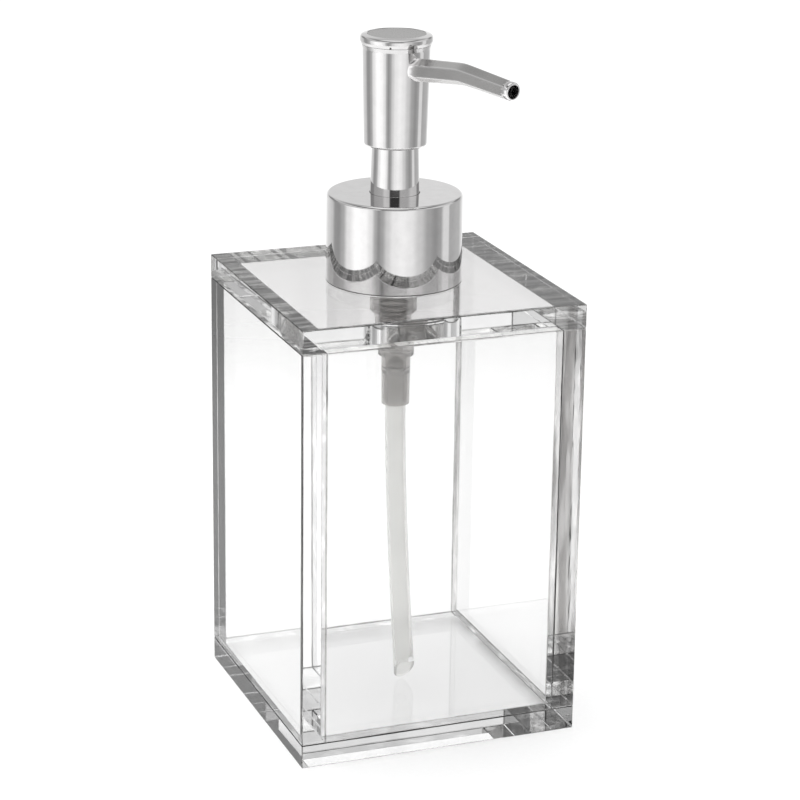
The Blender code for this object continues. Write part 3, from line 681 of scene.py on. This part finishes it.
# ---------------------------------------------------------------------------------------------
# The collar: a polished chromed shell pressed over a white threaded liner, with the chromed sleeve
# that the stem slides in standing up through it.
# nearly a mirror, its slight haze wandering over 2.5 mm
chrome = metal("polished_chrome_plate", "E3E2E2", 0.035, 0.02)
turned("chromed_collar", [
    (6.16, 133.0, 0.08), (16.65, 133.0, 0.85), (16.8, 111.36, 0.02), (16.2, 111.36, 0.02),
    (15.95, 132.1, 0.8), (6.4, 132.2, 0.1),
], "collar", chrome, ["collar_shell"], segments=160)
# dull and dark, a painted shadow that draws a thin line under the collar
collar_foot_shadow_paint = metal("dark_metal_painted_shadow", "6B6A69", 0.3, 0.1)
turned("collar_foot_painted_shadow", [(16.2, 111.35, 0), (16.8, 111.35, 0), (16.8, 111.1, 0.1), (16.2, 111.1, 0.1)],
       "collar", collar_foot_shadow_paint, ["collar_shell"], segments=160)
turned("threaded_liner", [
    (14.5, 131.8, 0.2), (15.85, 131.8, 0.3), (15.85, 113.0, 0.3), (14.1, 113.0, 0.3), (14.1, 124.6, 0.4),
    (9.0, 124.6, 0.3), (9.0, 126.4, 0.3), (14.5, 126.4, 0.4),
], "collar", polypropylene, ["collar_liner"])
screw_ridge("liner_screw_thread", 14.1, 12.95, thread_start + pitch / 2, "collar",
            polypropylene, "collar_liner")
turned("chromed_sleeve", [
    (4.9, 147.3, 0.2), (5.65, 147.3, 0.25), (6.1, 131.6, 0.05), (8.6, 131.6, 0.3), (8.6, 130.2, 0.3),
    (6.1, 130.2, 0.2), (6.1, 126.5, 0.3), (4.9, 126.5, 0.3),
], "pump", chrome, ["neck_sleeve"], segments=128)


# ---------------------------------------------------------------------------------------------
# The head: die-cast, polished and chromed. It flares a little upwards, and a domed cap with a
# rounded rim and a satin disc closes it. A white core inside carries the soap to the spout.
neck_z, neck_r = 169.0, 8.28
turned("chromed_head", [
    (6.5, 169.6, 0.1), (8.46, 169.6, 0.04), (neck_r - 0.08, neck_z - 0.5, 1.6), (neck_r - 0.25, 160.0, 8.0),
    (7.66, 144.8, 0.75), (6.5, 144.8, 0.25),
], "head", chrome, ["head_shell"], segments=160)
turned("chromed_cap_rim", [
    (7.25, 172.1, 0.12), (8.8, 171.75, 0.75), (8.86, 170.5, 1.1), (8.5, 169.66, 0.03), (6.6, 169.66, 0.2),
    (6.6, 171.6, 0.05), (7.1, 171.9, 0.05),
], "head", chrome, ["head_top_cap"], segments=160)
# blurs what it mirrors into an even grey, with a drift over 17 mm
satin = metal("satin_chrome_disc", "A2A1A0", 0.24, 0.06, 60.0)
turned("satin_cap_disc", [(0.0, 172.0, 0), (7.12, 172.0, 0.08), (7.12, 169.6, 0.1), (0.0, 169.6, 0)],
       "head", satin, ["head_top_cap"], segments=128)
turned("head_core_block", [
    (0.0, 169.2, 0), (6.3, 169.2, 0.3), (6.3, 158.4, 0.3), (3.2, 158.4, 0.2), (3.2, 163.1, 0.1),
    (2.5, 163.1, 0.1), (2.5, 167.9, 0.2), (0.0, 167.9, 0),
], "head", polypropylene, ["head_core"], segments=64)


# ---------------------------------------------------------------------------------------------
# The spout: cast in one with the head, with a hexagonal section, upright flats and rounded ridges.
# It rises to a bend, falls a little and ends in a short round lip; its root flares into the head.
toward = math.radians(-72)
along = np.array((math.cos(toward), math.sin(toward), 0))
across = np.array((-along[1], along[0], 0))
root, bend, lip, tip = (np.array(p) for p in ((6.7, 164.3), (25.5, 166.3), (41.2, 165.15), (42.9, 165.0)))


def path_at(reach):
    """The spout's middle line: two straight runs, the bend eased over about 2 mm. Height and slope."""
    first = (bend[1] - root[1]) / (bend[0] - root[0])
    second = (tip[1] - bend[1]) / (tip[0] - bend[0])
    ease = 1.2
    over = reach - bend[0]
    soft = (over + np.sqrt(over ** 2 + ease ** 2)) / 2
    z = root[1] + first * (reach - root[0]) + (second - first) * soft
    slope = first + (second - first) * (1 + over / np.sqrt(over ** 2 + ease ** 2)) / 2
    return z, slope


def hexagon(turn, sharpness=110.0):
    """A hexagon with an apothem of 1 and flats to the left and right, its corners rounded by a power mean."""
    normals = np.radians(np.arange(30, 390, 60))[:, None]
    return np.sum(np.clip(np.cos(turn - normals), 0, None) ** sharpness, 0) ** (-1 / sharpness)


turn = np.linspace(0, 2 * np.pi, 145)[:-1]
six = hexagon(turn)


def spout_rows(reaches, apothems, roundness):
    """Sections square to the middle line; roundness blends each from the hexagon, 0, to a circle, 1."""
    z, slope = path_at(reaches)
    tilt = np.arctan(slope)
    shape = apothems[:, None] * (six + (1 - six) * roundness[:, None])
    rise, wide = shape * np.cos(turn), shape * np.sin(turn)
    ahead = reaches[:, None] - rise * np.sin(tilt)[:, None]
    height = z[:, None] + rise * np.cos(tilt)[:, None]
    return ahead[..., None] * along + wide[..., None] * across + height[..., None] * np.array((0, 0, 1.0))


body_reach = np.concatenate([np.linspace(root[0], root[0] + 3.2, 17), np.linspace(root[0] + 3.7, lip[0], 60)])
flare = np.clip(1 - (body_reach - root[0] - 0.6) / 2.6, 0, 1)
flare = 1 - np.sqrt(1 - np.clip(flare, 0, 0.995) ** 2)
apothem = np.interp(body_reach, [root[0], bend[0], lip[0]], [2.45, 2.3, 2.06]) + 0.5 * flare
body_round = np.clip(flare * 1.3, 0, 0.8)
lip_reach = np.array([lip[0] + d for d in (0.02, 0.1, 0.25, 0.6, 1.1, 1.4, 1.58, 1.67, 1.7, 1.66, 1.5, 1.0)])
lip_size = np.array([2.1, 2.2, 2.24, 2.25, 2.24, 2.18, 2.05, 1.9, 1.78, 1.66, 1.6, 1.6])
bore_reach, bore_r = np.linspace(lip[0] + 0.5, root[0], 40), 1.6
rows = spout_rows(np.concatenate([body_reach, lip_reach, bore_reach]),
                  np.concatenate([apothem, lip_size, np.full_like(bore_reach, bore_r)]),
                  np.concatenate([body_round, np.ones_like(lip_reach), np.ones_like(bore_reach)]))
to_ridge = abs((np.degrees(turn) + 30) % 60 - 30)
ridges = 0.9 * np.exp(-(to_ridge / 5.0) ** 2)[None] * np.ones((len(rows), 1))
near_head = np.clip((root[0] + 3.0 - body_reach) / 0.6, 0, 1)
bright = np.concatenate([near_head, np.ones_like(lip_reach), np.zeros_like(bore_reach)])[:, None]
spout = surface("chromed_spout", rows * mm, wrap_rows=True, polish=np.maximum(ridges, bright))
spout.data.set_sharp_from_angle(angle=math.radians(50))
# satin on the flats, drifting over 6 mm, and polished on the ridges, the root and the lip,
# where its brighter colour is a painted highlight
spout_satin = metal("satin_chrome_spout", "CAC9C8", 0.2, 0.06, 160.0, "F2F1F1")
spout.data.materials.append(spout_satin)
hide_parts("head_shell")
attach(spout, "head")

# dark grey, painted shade for the shadow deep in the spout's bore, so that the mouth reads as a dark disc
bore_painted_shade = moulded("moulded_polyethylene_painted_shade", "4A4A49", 0.4, 0.3)
liner_reach = np.linspace(root[0] + 0.3, tip[0] - 3, 30)
liner_outer, liner_bore = 1.35, 0.85
liner_radii = np.concatenate([np.full_like(liner_reach, liner_outer), np.full_like(liner_reach, liner_bore)])
liner_rows = spout_rows(np.concatenate([liner_reach, liner_reach[::-1]]),
                        liner_radii, np.ones_like(liner_radii))
spout_tube = surface("spout_inner_tube", liner_rows * mm, wrap_rows=True)
spout_tube.data.set_sharp_from_angle(angle=math.radians(50))
spout_tube.data.materials.append(bore_painted_shade)
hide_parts("spout_liner")
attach(spout_tube, "head")
